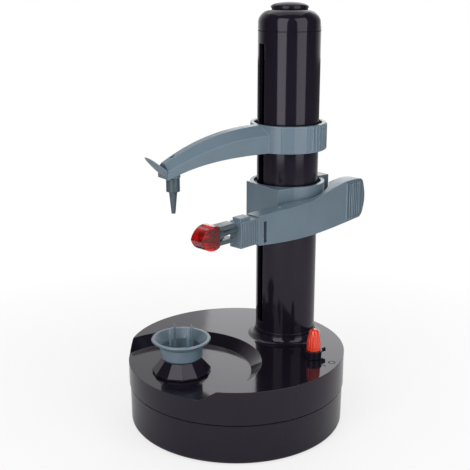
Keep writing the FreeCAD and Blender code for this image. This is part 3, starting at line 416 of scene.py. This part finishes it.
# Leaf-shaped press tab at the tip of the upper arm, dished, thin at the rim and thick at its root
tab_lo, tab_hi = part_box("press_tab")
TAB_RISE = math.radians(45)
TAB_ROOT_IN = 0.6 * MM
TAB_ROOT_UP = 0.2 * MM
TAB_REACH = 0.97
TAB_THICK = 1.7 * MM
TAB_THIN = 0.45
TAB_SWELL_START = 0.15
TAB_SWELL_SPAN = 0.7
TAB_BLUNT_FROM = 0.97
TAB_DISH = 0.9 * MM
TAB_SUNK = 2.5 * MM
TAB_WEB = 4.5 * MM
TAB_WEB_END = 0.6
LEAF_WIDEST = 0.45
LEAF_SPREAD = 0.56
LEAF_LEAST = 0.02
LEAF_STEPS = 24
LEAF_SIDES = 32


def leaf_half_width(u, widest):
    """Half width along the leaf: part of an ellipse, cut off at the root and nearly closed at the end."""
    return widest * math.sqrt(max(LEAF_LEAST, 1 - ((u - LEAF_WIDEST) / LEAF_SPREAD) ** 2))


def leaf_half_thickness(u):
    """Half thickness along the leaf: fullest in the middle, and halved close to the end."""
    swell = math.sin(math.pi * (TAB_SWELL_START + TAB_SWELL_SPAN * u))
    blunt = 1 if u < TAB_BLUNT_FROM else 0.5
    return TAB_THICK / 2 * (TAB_THIN + (1 - TAB_THIN) * swell) * blunt


def leaf_rows():
    along = Vector((-math.cos(TAB_RISE), 0, math.sin(TAB_RISE)))
    up = Vector((math.sin(TAB_RISE), 0, math.cos(TAB_RISE)))
    root = Vector((tab_hi.x - TAB_ROOT_IN, 0, tab_lo.z + TAB_ROOT_UP)) - along * TAB_SUNK
    length = (tab_hi.z - tab_lo.z) / math.sin(TAB_RISE) * TAB_REACH + TAB_SUNK
    widest = (tab_hi.y - tab_lo.y) / 2
    rows = []
    for i in range(LEAF_STEPS + 1):
        u = i / LEAF_STEPS
        spine = root + along * (length * u)
        half = leaf_half_width(u, widest)
        thick = leaf_half_thickness(u)
        web = TAB_WEB * max(0.0, 1 - u / TAB_WEB_END)
        row = []
        for k in range(LEAF_SIDES):
            a = math.tau * k / LEAF_SIDES
            across = math.cos(a)
            lift = math.sin(a) * thick + TAB_DISH * across * across * (half / widest)
            lift += max(0.0, math.sin(a)) * web
            row.append(spine + Vector((0, half * across, 0)) + up * (lift + TAB_THICK / 2))
        rows.append(row)
    return rows


leaf = piece("dished_press_tab", skin(leaf_rows()), "holder_arm", "grey_satin")
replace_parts(leaf, "press_tab")

# Flat facets across the front of the upper collar, whose top is the top of the upper arm
arm_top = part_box("upper_arm")[1].z
FACET_CORNERS = (-136.5, -118.5, -99.0)
FACET_INNER_CORNERS = (-138.5, -118.5, -97.0)
FACET_OUT = 26.2 * MM
FACET_IN = 25.3 * MM
FACET_BOTTOM = arm_top - 17.6 * MM
FACET_TOP = arm_top - 0.4 * MM
TRIM_EDGE = 0.3 * MM


def facet_band():
    rows = []
    for z in (FACET_BOTTOM, FACET_TOP):
        outside = [polar(TOWER, FACET_OUT, a, z) for a in FACET_CORNERS]
        inside = [polar(TOWER, FACET_IN, a, z) for a in reversed(FACET_INNER_CORNERS)]
        rows.append(outside + inside)
    return skin(rows)


soft_edges(piece("collar_facets", facet_band(), "holder_arm", "grey_satin", smooth=False), TRIM_EDGE)

# Ribbed thumb pad on the outer face of the arm's paddle, in the arm's own frame
PIVOT = Vector((10 * MM, -34 * MM, 0))
ARM_TURN = Matrix.Rotation(math.radians(12), 4, "Z")
OUTWARD = ARM_TURN @ Vector((0, -1, 0))
FACE_Y = -5.5 * MM
arm_lo, arm_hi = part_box("peel_arm")
PAD_TOP = arm_hi.z - 0.7 * MM
PAD_BOTTOM = arm_lo.z + 3.6 * MM
PAD_LEFT = 66.0 * MM
PAD_LEFT_BOTTOM = PAD_BOTTOM + 0.3 * MM
PAD_LEFT_TOP = PAD_TOP - 0.4 * MM
PAD_SUNK = 0.2 * MM
PAD_THICK = 0.8 * MM
NOSE_X = 81.5 * MM
NOSE_REACH = 4.6 * MM
NOSE_STEPS = 12
THUMB_RIBS = 6
THUMB_RIB_X = 68.3 * MM
THUMB_RIB_STEP = 2.1 * MM
THUMB_RIB_HALF = 0.5 * MM
THUMB_RIB_THICK = 0.65 * MM
THUMB_RIB_Y = FACE_Y - 0.5 * MM
THUMB_RIB_TOP = arm_hi.z - 2.4 * MM
THUMB_RIB_BOTTOM = arm_lo.z + 5.4 * MM


def on_arm(x, y, z):
    return PIVOT + ARM_TURN @ Vector((x, y, z))


def pad_outline():
    """Corners of the pad from its straight left edge round the nose, as (x, z) in the arm's frame."""
    middle = (PAD_TOP + PAD_BOTTOM) / 2
    half = (PAD_TOP - PAD_BOTTOM) / 2
    nose = []
    for i in range(NOSE_STEPS + 1):
        a = math.pi * (0.5 - i / NOSE_STEPS)
        nose.append((NOSE_X + NOSE_REACH * math.cos(a), middle + half * math.sin(a)))
    return [(PAD_LEFT, PAD_LEFT_BOTTOM), (PAD_LEFT, PAD_LEFT_TOP)] + nose


pad_corners = [on_arm(x, FACE_Y + PAD_SUNK, z) for x, z in pad_outline()]
pad = plank(pad_corners, PAD_THICK, OUTWARD)
soft_edges(piece("thumb_pad", pad, "arm", "grey_pad", smooth=False), TRIM_EDGE)
rib_along = ARM_TURN @ Vector((THUMB_RIB_HALF, 0, 0))
rib_across = UP * ((THUMB_RIB_TOP - THUMB_RIB_BOTTOM) / 2)
rib_z = (THUMB_RIB_TOP + THUMB_RIB_BOTTOM) / 2
for i in range(THUMB_RIBS):
    middle = on_arm(THUMB_RIB_X + THUMB_RIB_STEP * i, THUMB_RIB_Y, rib_z)
    rib = plank(rectangle(middle, rib_along, rib_across), THUMB_RIB_THICK, OUTWARD)
    soft_edges(piece("thumb_rib_%d" % i, rib, "arm", "grey_satin", smooth=False), TRIM_EDGE)

# Painted shade: flat near-black crosses on the four housing screws stand in for the shade in their cross
# recesses
SCREW_RING = 64 * MM
HEAD_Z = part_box("housing_screws")[0].z
SCREWS = 4
FIRST_SCREW = 45
RECESS_HALF_LENGTH = 1.7 * MM
RECESS_HALF_WIDTH = 0.4 * MM
RECESS_PROUD = 0.03 * MM
RECESS_THICK = 0.04 * MM
for i in range(SCREWS):
    bearing = FIRST_SCREW + 360 / SCREWS * i
    middle = polar(ORIGIN, SCREW_RING, bearing, HEAD_Z - RECESS_PROUD)
    for turn in (0, 90):
        along = polar(ORIGIN, RECESS_HALF_LENGTH, bearing + turn, 0)
        across = polar(ORIGIN, RECESS_HALF_WIDTH, bearing + turn + 90, 0)
        recess_shade = plank(rectangle(middle, along, across), RECESS_THICK, UP)
        piece("screw_recess_shade_%d_%d" % (i, turn), recess_shade, "base", "groove", smooth=False)

# Finger ribs on the battery door
door_lo, door_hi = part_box("battery_door")
DOOR_RIBS = 6
DOOR_RIB_X = door_hi.x - 5 * MM
DOOR_RIB_STEP = 1.8 * MM
DOOR_RIB_HALF_WIDTH = 0.45 * MM
DOOR_RIB_HALF_LENGTH = 8 * MM
DOOR_RIB_PROUD = 0.35 * MM
DOOR_RIB_THICK = 0.45 * MM
DOOR_RIB_EDGE = 0.15 * MM
door_along = Vector((DOOR_RIB_HALF_WIDTH, 0, 0))
door_across = Vector((0, DOOR_RIB_HALF_LENGTH, 0))
for i in range(DOOR_RIBS):
    x = DOOR_RIB_X - DOOR_RIB_STEP * i
    middle = Vector((x, (door_lo.y + door_hi.y) / 2, door_lo.z - DOOR_RIB_PROUD))
    rib = plank(rectangle(middle, door_along, door_across), DOOR_RIB_THICK, UP)
    soft_edges(piece("door_rib_%d" % i, rib, "door", "black_matte", smooth=False), DOOR_RIB_EDGE)

# Floor, light and camera
FLOOR_RINGS = (0.02, 0.3, 3.0)
FLOOR_SIDES = 96
FLOOR_DROP = 0.3 * MM
FLOOR_TONE = 0.86
WHITE_NEAR = 0.74
WHITE_REACH = (0.09, 0.36)
WORLD_LIGHT = 0.14
GLOSS_DARK = 0.08
GLOSS_BRIGHT = 1.15
BACK_WALL = (0.57, 0.82, 0.0)
WALL_START = 0.2
WALL_FULL = 0.97
LAMP_AIM = Vector((0, 0, 0.14))


def floor_mesh():
    rings = turned([(r, -FLOOR_DROP) for r in FLOOR_RINGS], ORIGIN, FLOOR_SIDES)
    bm = skin(rings, cap=False)
    bm.faces.new(list(bm.verts)[:FLOOR_SIDES])
    bm.normal_update()
    for face in bm.faces:
        if face.normal.z < 0:
            face.normal_flip()
    mesh = bpy.data.meshes.new("floor")
    bm.to_mesh(mesh)
    bm.free()
    return mesh


def floor_finish():
    """Pale and matt, fading to plain white away from the object, and clear when seen from below."""
    n = Nodes("floor_white")
    n.shader.inputs["Base Color"].default_value = (FLOOR_TONE, FLOOR_TONE, FLOOR_TONE, 1)
    n.shader.inputs["Roughness"].default_value = 0.9
    n.shader.inputs["Specular IOR Level"].default_value = 0.1
    away = n.add("ShaderNodeVectorMath", operation="LENGTH")
    n.link(n.place, away.inputs[0])
    ray = n.add("ShaderNodeLightPath")
    far = n.add("ShaderNodeMath", operation="MULTIPLY")
    n.link(n.ranged(away.outputs["Value"], WHITE_NEAR, 1.0, *WHITE_REACH), far.inputs[0])
    n.link(ray.outputs["Is Camera Ray"], far.inputs[1])
    glow = n.add("ShaderNodeEmission")
    above = n.add("ShaderNodeMixShader")
    n.link(far.outputs[0], above.inputs[0])
    n.link(n.shader.outputs[0], above.inputs[1])
    n.link(glow.outputs[0], above.inputs[2])
    either = n.add("ShaderNodeMixShader")
    n.link(n.add("ShaderNodeNewGeometry").outputs["Backfacing"], either.inputs[0])
    n.link(above.outputs[0], either.inputs[1])
    n.link(n.add("ShaderNodeBsdfTransparent").outputs[0], either.inputs[2])
    n.link(either.outputs[0], n.tree.nodes["Material Output"].inputs["Surface"])
    return n.material


def stage_floor():
    mesh = floor_mesh()
    floor = bpy.data.objects.new("floor", mesh)
    bpy.context.scene.collection.objects.link(floor)
    mesh.materials.append(floor_finish())


def softbox(name, bearing, reach, height, size, power):
    """Rectangular lamp standing round the tower at a bearing in degrees from +X, facing the object."""
    data = bpy.data.lights.new(name, "AREA")
    data.shape = "RECTANGLE"
    data.size, data.size_y = size
    data.energy = power
    lamp = bpy.data.objects.new(name, data)
    lamp.location = polar(TOWER, reach, bearing, height)
    lamp.rotation_euler = (TOWER + LAMP_AIM - lamp.location).to_track_quat("-Z", "Y").to_euler()
    lamp.visible_camera = False
    bpy.context.scene.collection.objects.link(lamp)


def studio_world():
    """White to the eye and through clear parts, soft light on matt ones, and for gloss a bright back wall."""
    world = bpy.data.worlds.new("studio")
    bpy.context.scene.world = world
    world.use_nodes = True
    tree = world.node_tree
    link = tree.links.new

    def node(kind, **settings):
        made = tree.nodes.new(kind)
        for key, value in settings.items():
            setattr(made, key, value)
        return made

    ray = node("ShaderNodeLightPath")
    toward = node("ShaderNodeVectorMath", operation="DOT_PRODUCT")
    link(node("ShaderNodeTexCoord").outputs["Generated"], toward.inputs[0])
    toward.inputs[1].default_value = BACK_WALL
    wall = node("ShaderNodeMapRange")
    for socket, number in (("From Min", WALL_START), ("From Max", WALL_FULL),
                           ("To Min", GLOSS_DARK), ("To Max", GLOSS_BRIGHT)):
        wall.inputs[socket].default_value = number
    link(toward.outputs["Value"], wall.inputs["Value"])
    shiny = node("ShaderNodeMix", data_type="FLOAT")
    link(ray.outputs["Is Glossy Ray"], shiny.inputs[0])
    shiny.inputs[2].default_value = WORLD_LIGHT
    link(wall.outputs["Result"], shiny.inputs[3])
    seen = node("ShaderNodeMath", operation="MAXIMUM")
    link(ray.outputs["Is Camera Ray"], seen.inputs[0])
    link(ray.outputs["Is Transmission Ray"], seen.inputs[1])
    strength = node("ShaderNodeMath", operation="MAXIMUM")
    link(seen.outputs[0], strength.inputs[0])
    link(shiny.outputs[0], strength.inputs[1])
    background = tree.nodes["Background"]
    background.inputs["Color"].default_value = (1, 1, 1, 1)
    link(strength.outputs[0], background.inputs["Strength"])


stage_floor()
studio_world()
softbox("left_strip", -154, 0.62, 0.4, (0.4, 0.8), 3.4)
softbox("right_strip", -82, 0.62, 0.4, (0.45, 0.8), 2.9)
softbox("overhead", 60, 0.3, 1.0, (0.9, 0.9), 2.8)
softbox("back_fill", 40, 0.9, 0.55, (0.7, 0.7), 2.0)

CAMERA_PLACE = (-0.3345, -0.4771, 0.2984)
CAMERA_DIP = 0.278
CAMERA_TURN = -0.61
camera_data = bpy.data.cameras.new("camera")
camera_data.sensor_width = 36
camera_data.lens = 68.6
camera_data.clip_start = 0.01
camera = bpy.data.objects.new("camera", camera_data)
camera.location = CAMERA_PLACE
camera.rotation_euler = (math.pi / 2 - CAMERA_DIP, 0, CAMERA_TURN)
bpy.context.scene.collection.objects.link(camera)
bpy.context.scene.camera = camera
bpy.context.scene.view_settings.view_transform = "Standard"
